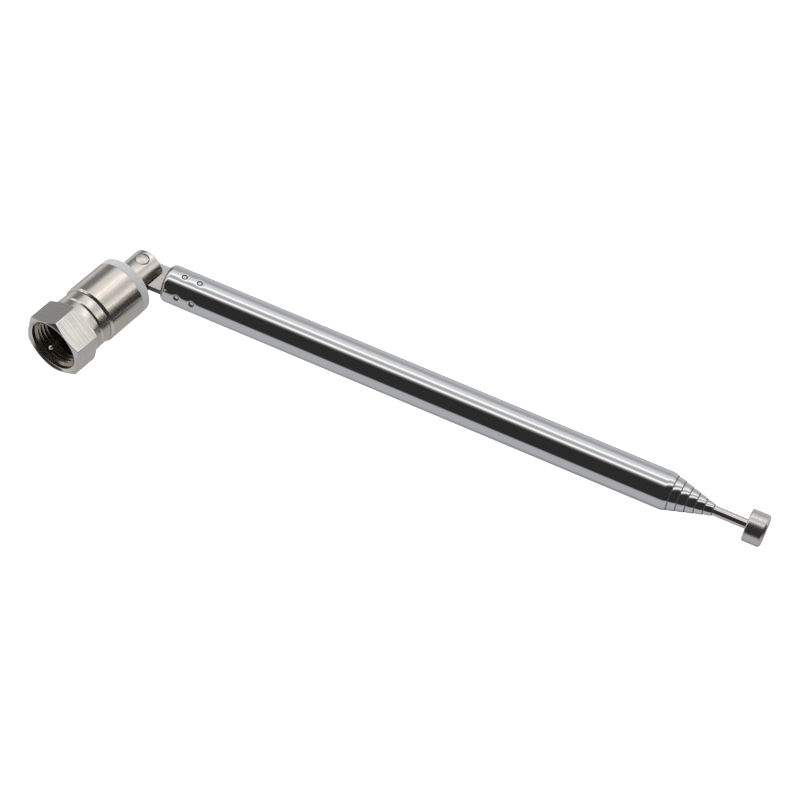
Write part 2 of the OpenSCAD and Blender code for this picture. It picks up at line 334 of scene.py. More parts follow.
def grain(n, parts, scales, detail=3.0, seed=0.0):
    """Noise whose grains measure 1/scale mm along the axis, across it and up."""
    scaled = [n.math("MULTIPLY", part, scale) for part, scale in zip(parts, scales)]
    vector = n.add("ShaderNodeCombineXYZ", {0: scaled[0], 1: scaled[1], 2: scaled[2]})
    noise = n.add(
        "ShaderNodeTexNoise",
        {"Vector": vector.outputs[0], "Scale": 1.0, "Detail": detail, "W": seed},
        noise_dimensions="4D",
    )
    return noise.outputs["Fac"]


def spread(n, value, low, high):
    """A noise value, mostly 0.3 to 0.7, carried over to low to high."""
    node = n.add("ShaderNodeMapRange", {
        "Value": value, "From Min": 0.3, "From Max": 0.7, "To Min": low, "To Max": high,
    })
    return node.outputs["Result"]


def tint(n, shader, factor, dark, light):
    """Colours the shader from dark to light by a factor."""
    mix = n.add("ShaderNodeMix", data_type="RGBA")
    n.tree.links.new(factor, mix.inputs["Factor"])
    mix.inputs["A"].default_value = (*dark, 1)
    mix.inputs["B"].default_value = (*light, 1)
    n.tree.links.new(mix.outputs["Result"], shader.inputs["Base Color"])


def bump(n, shader, height, strength, distance):
    """Roughens the surface by a height that is distance mm from lowest to highest."""
    node = n.add("ShaderNodeBump", {
        "Height": height, "Strength": strength, "Distance": distance * MM,
    })
    n.tree.links.new(node.outputs["Normal"], shader.inputs["Normal"])


def lined_metal(name, axis, base, shade, rough, scales, depth, seed):
    """Plated metal with fine lines and soft clouds.

    scales sets the size of the lines along and across the axis, rough is the roughness of the
    lightest and the darkest places, and depth is that of the lines in mm.
    """
    material, n, shader = principled(name, base, 1.0, sum(rough) / 2)
    parts = directions(n, axis)
    lines = grain(n, parts, scales, 4.0, seed)
    cloud = grain(n, parts, (0.35, 0.35, 0.35), 2.0, seed + 5)
    mixed = n.math("ADD", n.math("MULTIPLY", lines, 0.7), n.math("MULTIPLY", cloud, 0.3))
    tint(n, shader, spread(n, mixed, 0.0, 1.0), shade, base)
    n.tree.links.new(spread(n, mixed, rough[1], rough[0]), shader.inputs["Roughness"])
    bump(n, shader, lines, 1.0, depth)
    return material


def shadowed(name, base, shade, metallic):
    """Dull dark metal for narrow grooves and dimple walls, darker than the metal around; in the
    grooves it is painted shade, where little light gets in.
    """
    material, n, shader = principled(name, base, metallic, 0.5)
    cloud = grain(n, directions(n, PLUG), (2, 2, 2), 3.0, 17.0)
    tint(n, shader, spread(n, cloud, 0.0, 1.0), shade, base)
    n.tree.links.new(spread(n, cloud, 0.55, 0.42), shader.inputs["Roughness"])
    return material


def plastic(name, base, shade, roughness):
    """Matt moulded plastic that lets a little light in."""
    material, n, shader = principled(
        name, base, 0.0, roughness, Subsurface_Weight=0.15, Subsurface_Scale=0.001,
        Subsurface_Radius=(1.0, 1.0, 1.0),
    )
    parts = directions(n, PLUG)
    cloud = grain(n, parts, (0.6, 0.6, 0.6), 3.0, 2.0)
    fine = grain(n, parts, (9, 9, 9), 2.0, 3.0)
    tint(n, shader, spread(n, cloud, 0.0, 1.0), shade, base)
    n.tree.links.new(spread(n, fine, roughness - 0.06, roughness + 0.06),
                     shader.inputs["Roughness"])
    bump(n, shader, fine, 0.5, 0.01)
    return material


# Each metal has the colour of its bright places and that of its dull ones
NICKEL = (1.0, 0.975, 0.925)
NICKEL_SHADE = (0.73, 0.685, 0.625)
SHELL = (0.91, 0.86, 0.79)
SHELL_SHADE = (0.77, 0.71, 0.64)
BRIGHT = (0.92, 0.88, 0.82)
BRIGHT_SHADE = (0.80, 0.755, 0.69)
CHROME = (0.80, 0.80, 0.81)
CHROME_SHADE = (0.75, 0.75, 0.765)

nut_metal = lined_metal("nut_nickel", PLUG, NICKEL, NICKEL_SHADE, (0.12, 0.26),
                        (4, 0.15, 0.15), 0.006, 1.0)
# Painted shade: a darker, browner copy of the nickel for the bore of the nut and the post deep
# inside it
shaded_bore_metal = lined_metal("shaded_bore_nickel", PLUG, (0.56, 0.49, 0.41), (0.36, 0.31, 0.25), (0.18, 0.27),
                         (1, 0.3, 0.3), 0.0004, 2.0)
shell_metal = lined_metal("shell_nickel", PLUG, SHELL, SHELL_SHADE, (0.11, 0.28),
                          (0.18, 3.2, 3.2), 0.0012, 3.0)
ring_metal = lined_metal("ring_nickel", PLUG, SHELL, SHELL_SHADE, (0.13, 0.28),
                         (1.5, 0.6, 0.6), 0.0012, 4.0)
knuckle_metal = lined_metal("knuckle_nickel", PLUG, BRIGHT, BRIGHT_SHADE, (0.15, 0.28),
                            (0.25, 2.0, 2.0), 0.0015, 5.0)
tongue_metal = lined_metal("tongue_nickel", WHIP, (0.72, 0.68, 0.66), (0.60, 0.56, 0.54),
                           (0.2, 0.32), (0.3, 4.0, 4.0), 0.002, 6.0)
rivet_metal = lined_metal("rivet_nickel", PIN, (0.95, 0.91, 0.85), BRIGHT, (0.34, 0.46),
                          (1.5, 1.5, 1.5), 0.004, 7.0)
chrome = lined_metal("tube_chrome", WHIP, CHROME, CHROME_SHADE, (0.02, 0.05),
                     (0.05, 1.2, 1.2), 0.0002, 8.0)
# Painted reflection: dark brown chrome on the rolled rim, for the dark plug and tongue it mirrors
rim_reflection_chrome = lined_metal("rim_reflection_chrome", WHIP, (0.42, 0.37, 0.33), (0.22, 0.18, 0.15),
                          (0.08, 0.16), (0.6, 1.2, 1.2), 0.001, 15.0)
rod_chrome = lined_metal("rod_chrome", WHIP, (0.84, 0.80, 0.79), (0.76, 0.71, 0.70), (0.02, 0.06),
                         (0.1, 2.0, 2.0), 0.0003, 9.0)
cap_chrome = lined_metal("cap_chrome", WHIP, (0.83, 0.80, 0.78), (0.70, 0.67, 0.64), (0.2, 0.34),
                         (4, 0.2, 0.2), 0.0012, 10.0)
# Painted shade: near-black dull metal for deep bores, thread roots, grooves and seats where little
# light gets in
recess_shade = shadowed("recess_shadow", (0.050, 0.037, 0.029), (0.032, 0.023, 0.018), 0.25)
# Painted shade: mid grey for the lip's edge and the narrow gap between tubes
lip_gap_shade = shadowed("lip_gap_shade", (0.17, 0.168, 0.175), (0.11, 0.109, 0.113), 0.0)
# Darker dull metal painted on the walls of the crimp dimples
pit_wall_dark = shadowed("pit_wall_dark", (0.12, 0.118, 0.12), (0.06, 0.059, 0.06), 0.3)
# Painted shade: near-black colour for the tongue's side faces under the plug, with the roughness of
# a sheared edge
sheared_edge_shade = lined_metal("sheared_edge_shade", WHIP, (0.20, 0.18, 0.165), (0.10, 0.09, 0.08),
                           (0.35, 0.5), (5, 5, 1), 0.004, 16.0)
white_plastic = plastic("white_plastic", (0.92, 0.92, 0.925), (0.87, 0.87, 0.88), 0.5)
bead_plastic = plastic("bead_plastic", (0.70, 0.66, 0.60), (0.62, 0.58, 0.52), 0.45)
contact_metal = lined_metal("contact_nickel", PLUG, (0.82, 0.79, 0.72), (0.7, 0.66, 0.58),
                            (0.12, 0.22), (1, 3, 3), 0.001, 11.0)
spring_brass = lined_metal("spring_brass", WHIP, (0.80, 0.62, 0.34), (0.62, 0.45, 0.2),
                           (0.2, 0.32), (0.4, 3, 3), 0.001, 12.0)
coil_brass = lined_metal("coil_brass", PLUG, (0.80, 0.62, 0.34), (0.62, 0.45, 0.2),
                         (0.2, 0.32), (2, 2, 2), 0.001, 13.0)
spring_steel = lined_metal("spring_steel", PLUG, (0.50, 0.50, 0.51), (0.36, 0.36, 0.37),
                           (0.25, 0.4), (1, 4, 4), 0.001, 14.0)


# ---------------------------------------------------------------- plug


def hex_radius(a, flats, top_corner, corner_round=0.12):
    """Radius of a hexagon with rounded corners at angle a."""
    sector = math.radians(60)
    d = abs((a - top_corner + sector / 2) % sector - sector / 2)
    centre = (flats / 2 - corner_round) / math.cos(sector / 2)
    edge = math.atan2(
        corner_round * math.sin(sector / 2), centre + corner_round * math.cos(sector / 2)
    )
    if d < edge:
        return centre * math.cos(d) + math.sqrt(corner_round**2 - (centre * math.sin(d))**2)
    return flats / 2 / math.cos(sector / 2 - d)


def hex_angles(top_corner):
    """Angles close together at the six corners and wider apart on the flats."""
    steps = [0, 0.25, 0.55, 1, 2, 3.5, 5.5, 8, 11, 14, 17, 20, 23, 26.5, 30]
    angles = []
    for corner in range(6):
        for d in steps[:-1]:
            angles.append(top_corner + math.radians(60 * corner + d))
        for d in reversed(steps[1:]):
            angles.append(top_corner + math.radians(60 * (corner + 1) - d))
    return angles


def paint(piece, material, axis, chosen):
    """Gives a material to the faces whose (place, radius, normal) are chosen."""
    piece.data.materials.append(material)
    index = len(piece.data.materials) - 1
    for polygon in piece.data.polygons:
        rel = (polygon.center - axis.origin) / MM
        s = rel.dot(axis.along)
        if chosen(s, (rel - axis.along * s).length, polygon.normal):
            polygon.material_index = index


def coupling_nut():
    """Chamfered hexagon and collar outside; counterbore, thread and rear wall inside."""
    _, nut_len, corner_r = PLUG.span("coupling_nut")
    seat_x, _, _ = PLUG.span("flanged_post")
    flats = 11.0
    face_r = 5.5
    hex_len = 5.7
    collar_r = 5.35
    mouth_r, mouth_len = 5.3, 0.3
    counterbore_r, counterbore_len = 4.85, 0.9
    major_r, minor_r, pitch = 4.76, 4.35, 0.79
    thread_end = seat_x - 0.1
    undercut_r = major_r + 0.05
    wall_x = seat_x + 0.9
    neck_hole_r = 3.05
    top_corner = math.radians(95.5)
    chamfer_angle = math.radians(25)

    flank, root_edge, root, ridge = 0.24, 0.04, 0.08, 0.1
    edge_drop = 0.03
    thread = [(thread_end, minor_r)]
    for i in range(int((thread_end - counterbore_len) / pitch)):
        x = thread_end - ridge - pitch * i
        thread += [(x, minor_r), (x - flank, major_r - edge_drop)]
        x -= flank + root_edge
        thread += [(x, major_r), (x - root, major_r)]
        x -= root + root_edge
        thread += [(x, major_r - edge_drop), (x - flank, minor_r)]
    thread.append((counterbore_len, counterbore_r - 0.1))

    def outline(a):
        r = hex_radius(a, flats, top_corner)
        chamfer = (r - face_r) * math.tan(chamfer_angle)
        outside = rounded([
            (counterbore_len, counterbore_r, 0), (mouth_len, counterbore_r, 0.15),
            (0, mouth_r, 0.05), (0, face_r - 0.02, 0.04),
            (chamfer + 0.01, r, 0.07), (hex_len - chamfer - 0.01, r, 0.07),
            (hex_len, face_r - 0.02, 0.05), (hex_len, collar_r, 0.06),
            (nut_len - 0.15, collar_r, 0.06), (nut_len, collar_r - 0.15, 0.06),
            (nut_len, neck_hole_r, 0.03), (wall_x, neck_hole_r, 0.03),
            (wall_x, undercut_r, 0.05), (thread_end, undercut_r, 0),
        ])
        return outside[1:] + thread

    bm = revolve(PLUG, outline, hex_angles(top_corner))
    piece = finish_mesh("nut", bm, "nut", nut_metal, ["coupling_nut"])
    deep = counterbore_len + 3.2
    root_r = major_r - 0.05
    # The bore is painted in shade: darker nickel from the mouth in, near-black deeper, in the
    # thread roots and on the inner part of the rear face.
    paint(piece, shaded_bore_metal, PLUG, lambda x, r, n: mouth_len < x < deep and r < mouth_r - 0.1)
    paint(piece, recess_shade, PLUG, lambda x, r, n: deep <= x < wall_x and r < mouth_r - 0.1)
    paint(piece, recess_shade, PLUG, lambda x, r, n: counterbore_len < x < deep and root_r < r < major_r)
    paint(piece, recess_shade, PLUG, lambda x, r, n: x > nut_len - 0.01 and r < collar_r - 0.3)
    paint(piece, ring_metal, PLUG, lambda x, r, n: x > hex_len + 0.01 and r > collar_r - 0.2)
    return piece


def plug_pieces():
    """Post, body, shell, centre contact and white insulator, all round."""
    seat_x, post_end, flange_r = PLUG.span("flanged_post")
    bead_x, _, _ = PLUG.span("front_insulator")
    neck_r, post_r, bead_r = 3.0, 2.6, 1.6
    flange_end = seat_x + 0.85
    neck_end, body_end, _ = PLUG.span("plug_body")
    post = rounded([
        (seat_x, bead_r, 0.05), (seat_x, flange_r, 0.15), (flange_end, flange_r, 0.05),
        (flange_end, neck_r, 0), (neck_end, neck_r, 0), (neck_end, post_r, 0),
        (post_end, post_r, 0), (post_end, bead_r, 0),
    ], loop=True)
    # The post inside the nut gets the painted shade of the bore.
    finish_mesh("post", revolve(PLUG, post), "plug", shaded_bore_metal, ["flanged_post"])

    shell_x, shell_end, shell_r = PLUG.span("plug_shell")
    ring_r = 5.3
    shell_in, groove_r, cavity_r = 4.9, 4.3, 3.2
    ring_end = shell_x - 0.08
    body = rounded([
        (neck_end, post_r, 0), (neck_end, ring_r - 0.2, 0.05), (neck_end + 0.3, ring_r, 0.08),
        (ring_end, ring_r, 0.04), (ring_end, groove_r, 0.02),
        (shell_x, groove_r, 0.02), (shell_x, shell_in, 0), (body_end, shell_in, 0.1),
        (body_end, cavity_r, 0.05), (post_end, cavity_r, 0), (post_end, post_r, 0),
    ], loop=True)
    piece = finish_mesh("body_ring", revolve(PLUG, body), "plug", ring_metal,
                        ["plug_body"])
    # Painted shade in the groove before the shell and on the ring's front face.
    paint(piece, recess_shade, PLUG, lambda x, r, n: x > ring_end - 0.01 and r < ring_r - 0.15)
    paint(piece, recess_shade, PLUG, lambda x, r, n: x < neck_end + 0.01 and r < ring_r - 0.35)

    shell = rounded([
        (shell_x, shell_in, 0.02), (shell_x, shell_r - 0.33, 0.06),
        (shell_x + 0.4, shell_r, 0.12), (shell_end, shell_r, 0.08), (shell_end, shell_in, 0),
    ], loop=True)
    finish_mesh("shell", revolve(PLUG, shell), "plug", shell_metal,
                ["plug_shell"])

    spigot_x, white_end, white_r = PLUG.span("rear_insulator")
    bore_r = 1.65
    white = rounded([
        (spigot_x, bore_r, 0.05), (spigot_x, shell_in, 0.05), (shell_end, shell_in, 0),
        (shell_end, white_r - 0.02, 0.06), (white_end, white_r - 0.02, 0.5),
        (white_end, bore_r, 0.05),
    ], steps=8, loop=True)
    finish_mesh("white_ring", revolve(PLUG, white), "plug", white_plastic,
                ["rear_insulator"])

    tip_x, head_end, head_r = PLUG.span("centre_contact")
    contact_r, core_r, head_x = 0.45, 0.75, 11.5
    contact = rounded([
        (tip_x, 0, 0), (tip_x, contact_r * 0.6, 0.1), (tip_x + 0.4, contact_r, 0.2),
        (bead_x - 0.15, contact_r, 0), (bead_x - 0.15, core_r, 0), (head_x, core_r, 0),
        (head_x, head_r, 0.05), (head_end, head_r, 0.05), (head_end, 0, 0),
    ])
    finish_mesh("contact_pin", revolve(PLUG, contact, even_angles(64)), "plug",
                contact_metal, ["centre_contact"])


# ---------------------------------------------------------------- elbow


def knuckle():
    """Slotted cylinder on a stem, with a seat for each rivet head."""
    stem_x, end_x, knuckle_r = PLUG.span("swivel_knuckle")
    _, insulator_end, _ = PLUG.span("rear_insulator")
    start_x = insulator_end + 0.05
    stem_r, groove_r, groove_x, groove_end = 1.6, 1.2, 14.9, 15.4
    slot_x, slot_half = 20.55, 0.9
    seat_r, seat_z = 1.3, knuckle_r - 0.3
    outline = rounded([
        (stem_x, 0, 0), (stem_x, stem_r, 0.12), (groove_x, stem_r, 0), (groove_x, groove_r, 0),
        (groove_end, groove_r, 0), (groove_end, stem_r, 0), (start_x, stem_r, 0),
        (start_x, knuckle_r, 0.12), (end_x, knuckle_r, 0.35), (end_x, 0, 0),
    ], steps=8)
    far = knuckle_r + 1
    cutters = [box_mesh((slot_x, -far, -slot_half), (end_x + 1, far, slot_half))]
    for side in (1, -1):
        cutters.append(revolve(PIN, rounded([
            (seat_z * side, 0, 0), (seat_z * side, seat_r, 0.08),
            ((seat_z + 1) * side, seat_r, 0), ((seat_z + 1) * side, 0, 0),
        ]), even_angles(64)))
    bm = cut_with(revolve(PLUG, outline), cutters)
    soften(bm, 0.08, segments=3)
    piece = finish_mesh("knuckle", bm, "swivel", knuckle_metal,
                        ["swivel_knuckle"])

    def in_seat(z, r, normal):
        on_floor = abs(abs(z) - seat_z) < 0.02 and r < seat_r
        on_wall = abs(normal.z) < 0.3 and abs(z) > seat_z - 0.01 and r < seat_r + 0.03
        return on_floor or on_wall

    def at_slot_end(z, r, normal):
        return abs(z) < slot_half - 0.1 and abs(normal.z) < 0.5 and r < knuckle_r

    # Painted shade in the rivet seats and on the faces at the slot's end.
    paint(piece, recess_shade, PIN, in_seat)
    paint(piece, recess_shade, PIN, at_slot_end)
    return piece


def rivet():
    """Pin with two domed heads."""
    low, high, head_r = PIN.span("hinge_rivet")
    shank_r, head_h, brim = 0.8, 0.45, 0.2
    seat = high - head_h
    rise = head_h - brim
    sphere_r = (head_r**2 + rise**2) / (2 * rise)
    widest = math.asin(head_r / sphere_r)
    dome = [
        (high - sphere_r * (1 - math.cos(widest * (1 - i / 10))),
         sphere_r * math.sin(widest * (1 - i / 10)))
        for i in range(10)
    ]
    half = [(0, shank_r), (seat, shank_r), (seat, head_r)] + dome + [(high, 0)]
    other = [(-s, r) for s, r in reversed(half[1:])]
    bm = revolve(PIN, other + half[1:], even_angles(64))
    return finish_mesh("rivet", bm, "swivel", rivet_metal, ["hinge_rivet"])


def tongue():
    """Flat tongue with a round eye, in one piece with the plug inside the base tube."""
    half_w, half_t, eye_r = 2.9, 0.6, 0.85
    _, plug_end, plug_r = WHIP.span("elbow_tongue")
    plug_x = 5.9
    side = WHIP.side
    bm = bmesh.new()
    outline = [
        (half_w * math.cos(a), half_w * math.sin(a))
        for a in [math.pi / 2 + math.pi * i / 32 for i in range(33)]
    ]
    outline += [(plug_x + 0.5, -half_w), (plug_x + 0.5, half_w)]
    bottom = [
        bm.verts.new(WHIP.origin + (WHIP.along * x + side * y - UP * half_t) * MM)
        for x, y in outline
    ]
    face = bm.faces.new(bottom)
    top = bmesh.ops.extrude_face_region(bm, geom=[face])
    for v in top["geom"]:
        if isinstance(v, bmesh.types.BMVert):
            v.co += UP * (2 * half_t * MM)
    bmesh.ops.recalc_face_normals(bm, faces=bm.faces)
    soften(bm, 0.12)
    eye = revolve(PIN, [(-2, 0), (-2, eye_r), (2, eye_r), (2, 0)], even_angles(64))
    plate = cut_with(bm, [eye])
    plug = revolve(WHIP, rounded([
        (plug_x, 0, 0), (plug_x, plug_r, 0.1), (plug_end, plug_r, 0.4), (plug_end, 0, 0),
    ]), even_angles(96))
    bm = combine(plate, [plug], "UNION")
    piece = finish_mesh("tongue", bm, "whip", tongue_metal, ["elbow_tongue"])
    # The tongue's side faces get painted shade.
    paint(piece, sheared_edge_shade, WHIP, lambda s, r, n: s < plug_x and abs(n.z) < 0.6)
    return piece


# ---------------------------------------------------------------- whip

# Wall and clearance of the tubes, the shape of the mouths that are rolled in, and how far the
# painted shade reaches along the lip's edge
WALL = 0.25
RUNNING = 0.05
LIP_TAPER, LIP_POWER = 1.2, 1.7
LIP_NOSE, LIP_EDGE, LIP_CREVICE, LIP_FLAT, LIP_LEN = 0.08, 0.16, 0.2, 0.6, 1.3


def lip(mouth, r, inner_r):
    """Swaged end of a tube, from the outside to the inside, as (s, r, fillet)."""
    drop = r - inner_r - LIP_NOSE
    steps = 12
    taper = []
    for i in range(steps + 1):
        u = i / steps
        taper.append((mouth - LIP_NOSE - LIP_TAPER * (1 - u), r - drop * u**LIP_POWER, 0))
    return taper + [
        (mouth, inner_r + 0.05, 0.02), (mouth - LIP_CREVICE, inner_r, 0),
        (mouth - LIP_FLAT, inner_r, 0.05), (mouth - LIP_LEN, r - WALL, 0),
    ]


def paint_lip_shade(piece, mouth, inner_r):
    """Paints shade on the edge of the lip and in the narrow gap between it and the next tube."""
    paint(piece, lip_gap_shade, WHIP, lambda s, r, n: s > mouth - LIP_EDGE or (
        s > mouth - LIP_LEN and r < inner_r + 0.045
    ))


# Necked bottom of the sliding tubes and the rod
NECK_IN, NECK_LEN, NECK_TAPER = 0.2, 3.2, 0.3
# Crimp dimples
HALO_R, HALO_DEPTH = 1.4, 0.055
PIT_R, PIT_FLOOR_R, PIT_DEPTH = 0.66, 0.26, 0.18


def dent(distance):
    """Depth of a crimp dimple at a distance from its middle: a small pit in a shallow hollow."""
    depth = 0.0
    if distance < HALO_R:
        depth += HALO_DEPTH * (1 + math.cos(math.pi * distance / HALO_R)) / 2
    if distance < PIT_R:
        inward = min((PIT_R - distance) / (PIT_R - PIT_FLOOR_R), 1)
        depth += PIT_DEPTH * inward * inward * (3 - 2 * inward)
    return depth


def base_tube():
    """Widest tube, rolled over its plug, with two rows of crimp dimples."""
    start, mouth, r = WHIP.span("base_tube")
    _, _, next_r = WHIP.span("section_2")
    rim_len, rim_drop, rim_reflection_len = 0.8, 0.5, 0.42
    plug_x = start + 0.6
    first_row, row_gap, per_row = 8.6, 3.0, 5
    middle_row = first_row + row_gap / 2
    first_turn = math.radians(93)
    reach = HALO_R + 0.05
    step = 0.05
    fine = [
        first_row - reach + step * i
        for i in range(round((row_gap + 2 * reach) / step) + 1)
    ]
    rim = []
    for i in range(13):
        a = math.pi / 2 * i / 12
        rim.append((start + rim_len * (1 - math.cos(a)), r - rim_drop * (1 - math.sin(a))))
    end = rounded([(mouth - 3, r, 0)] + lip(mouth, r, next_r + RUNNING), steps=8)
    outline = (
        [(plug_x, r - WALL), (plug_x, r - rim_drop)] + rim
        + [(first_row - reach - 0.3, r)] + [(s, r) for s in fine] + end
    )

    def bend(s, radius, a):
        if radius < r - ON_AXIS or not first_row - reach < s < first_row + row_gap + reach:
            return s, radius
        turn = (a - first_turn) % (2 * math.pi / per_row)
        turn = min(turn, 2 * math.pi / per_row - turn)
        for row in (0, 1):
            radius -= dent(math.hypot(s - first_row - row_gap * row, turn * r))
        return s, radius

    bm = revolve(WHIP, outline, even_angles(360), bend)
    piece = finish_mesh("tube_1", bm, "whip", chrome, ["base_tube"])
    paint_lip_shade(piece, mouth, next_r + RUNNING)
    # The rolled rim at the tube's start gets a painted dark reflection.
    paint(piece, rim_reflection_chrome, WHIP, lambda s, rad, n: s < start + rim_reflection_len)

    def on_pit_wall(s, rad, normal):
        depth = r - HALO_DEPTH - rad
        return abs(s - middle_row) < row_gap and PIT_DEPTH * 0.15 < depth < PIT_DEPTH * 0.85

    # The dimple walls are painted darker than the chrome around them.
    paint(piece, pit_wall_dark, WHIP, on_pit_wall)
    return piece


def sliding_tube(k, next_node):
    """Tube k of the whip, necked at its bottom and rolled in at its mouth."""
    node = f"section_{k}"
    bottom, mouth, r = WHIP.span(node)
    _, _, next_r = WHIP.span(next_node)
    neck_in, neck_end = NECK_IN, bottom + NECK_LEN
    shoulder = neck_end + NECK_TAPER
    outline = rounded([
        (bottom, r - WALL - neck_in, 0), (bottom, r - neck_in, 0.05),
        (neck_end, r - neck_in, 0.2), (shoulder, r, 0.2),
    ] + lip(mouth, r, next_r + RUNNING) + [
        (shoulder, r - WALL, 0), (neck_end, r - WALL - neck_in, 0),
    ], steps=8, loop=True)
    bm = revolve(WHIP, outline)
    piece = finish_mesh(f"tube_{k}", bm, f"stage_{k}", chrome, [node])
    paint_lip_shade(piece, mouth, next_r + RUNNING)
    return piece


def tip():
    """Rod and its cap."""
    bottom, rod_end, rod_r = WHIP.span("tip_rod")
    neck_in, neck_end = NECK_IN, bottom + NECK_LEN
    rod = rounded([
        (bottom, 0, 0), (bottom, rod_r - neck_in, 0.05), (neck_end, rod_r - neck_in, 0.1),
        (neck_end + NECK_TAPER, rod_r, 0.1), (rod_end, rod_r, 0.05), (rod_end, 0, 0),
    ])
    finish_mesh("rod", revolve(WHIP, rod, even_angles(96)), "tip", rod_chrome,
                ["tip_rod"])
    start, end, cap_r = WHIP.span("tip_cap")
    chamfer = 0.35
    cap = rounded([
        (start, rod_r, 0.03), (start, cap_r, 0.3), (end - chamfer, cap_r, 0.12),
        (end, cap_r - chamfer, 0.1), (end, 0, 0), (rod_end, 0, 0), (rod_end, rod_r, 0),
    ], steps=6)
    cap.append(cap[0])
    finish_mesh("cap", revolve(WHIP, cap), "tip", cap_chrome, ["tip_cap"])


# ---------------------------------------------------------------- build

coupling_nut()
plug_pieces()
knuckle()
rivet()
tongue()
base_tube()
for k in range(2, 7):
    sliding_tube(k, f"section_{k + 1}" if k < 6 else "tip_rod")
tip()

KEPT_NODES = {
    "front_insulator": bead_plastic,
    "contact_spring": coil_brass,
    "retaining_clip": spring_steel,
    "spring_washer": spring_steel,
    "rod_spring": spring_brass,
}
for k in range(2, 7):
    KEPT_NODES[f"section_spring_{k}"] = spring_brass
for node, material in KEPT_NODES.items():
    mesh = frame["nodes"][node].data
    mesh.materials.clear()
    mesh.materials.append(material)


# ---------------------------------------------------------------- floor


FLOOR_SIZE = 8.0
FLOOR_ROOM = 1.05


def floor():
    """Pale plane, so low that the open whip clears it however the swivel is turned."""
    _, closed_reach, _ = WHIP.span("tip_cap")
    travel = sum(j["range_m"][1] for j in frame["joints"] if j["type"] == "slide")
    level = -(closed_reach * MM + travel) * FLOOR_ROOM
    bm = bmesh.new()
    bmesh.ops.create_grid(bm, x_segments=8, y_segments=8, size=FLOOR_SIZE)
    bmesh.ops.translate(bm, vec=(0, 0, level), verts=bm.verts)
    mesh = bpy.data.meshes.new("floor")
    bm.to_mesh(mesh)
    bm.free()
    obj = bpy.data.objects.new("floor", mesh)
    bpy.context.scene.collection.objects.link(obj)
    material = bpy.data.materials.new("floor")
    material.use_nodes = True
    n = Nodes(material.node_tree)
    n.tree.nodes.clear()
    path = n.add("ShaderNodeLightPath")
    paper = n.add("ShaderNodeBsdfDiffuse", {"Color": (0.86, 0.86, 0.87, 1)})
    glow = n.add("ShaderNodeEmission", {"Color": (1, 1, 1, 1), "Strength": 0.9})
    bright = n.add("ShaderNodeAddShader", {0: paper.outputs[0], 1: glow.outputs[0]})
    seen = n.add("ShaderNodeMixShader", {
        0: path.outputs["Is Camera Ray"], 1: paper.outputs[0], 2: bright.outputs[0],
    })
    clear = n.add("ShaderNodeBsdfTransparent")
    mix = n.add("ShaderNodeMixShader", {
        0: path.outputs["Is Glossy Ray"], 1: seen.outputs[0], 2: clear.outputs[0],
    })
    n.add("ShaderNodeOutputMaterial", {"Surface": mix.outputs[0]})
    mesh.materials.append(material)


floor()


# ---------------------------------------------------------------- light

# Angle from straight up, away from the open front, in degrees, and the tent's colour there
TENT_STOPS = [
    (-180, (0.03, 0.03, 0.03)), (-24, (0.03, 0.03, 0.03)), (-14, (0.185, 0.17, 0.15)),
    (-6, (0.42, 0.42, 0.42)), (10, (0.43, 0.44, 0.455)), (24, (0.60, 0.60, 0.60)),
    (36, (0.78, 0.78, 0.79)), (42, (0.81, 0.81, 0.82)), (53, (0.53, 0.54, 0.56)),
    (64, (0.40, 0.41, 0.425)), (84, (0.54, 0.55, 0.565)), (102, (0.59, 0.59, 0.59)),
    (180, (0.65, 0.65, 0.65)),
]
# Angle, width and strength of each lamp line
LAMPS = [(-5, 6.5, 0.85), (24, 6.5, 0.70)]
# Direction, spread and shade of a grey card overhead
CARD = Vector((0.47, 0.807, 0.36)).normalized()
CARD_EDGE, CARD_MIDDLE, CARD_SHADE = 0.93, 0.985, 0.42
# Colour of the floor's reflection, the heights of a ray between which it begins, and its changes
FLOOR_GLOW = (0.50, 0.505, 0.52, 1)
FLOOR_NEAR, FLOOR_FAR = -0.34, -0.13
FLOOR_SKEW = 0.165
SIDE_REACH, SIDE_SHADE = 0.5, 0.78
UNDER_LEVEL, UNDER_SHADE = -0.90, 0.62
# Extra light for dull surfaces, and the direction across the tent
FILL = 0.2
ACROSS = Vector((math.cos(math.radians(39)), math.sin(math.radians(39)), 0))


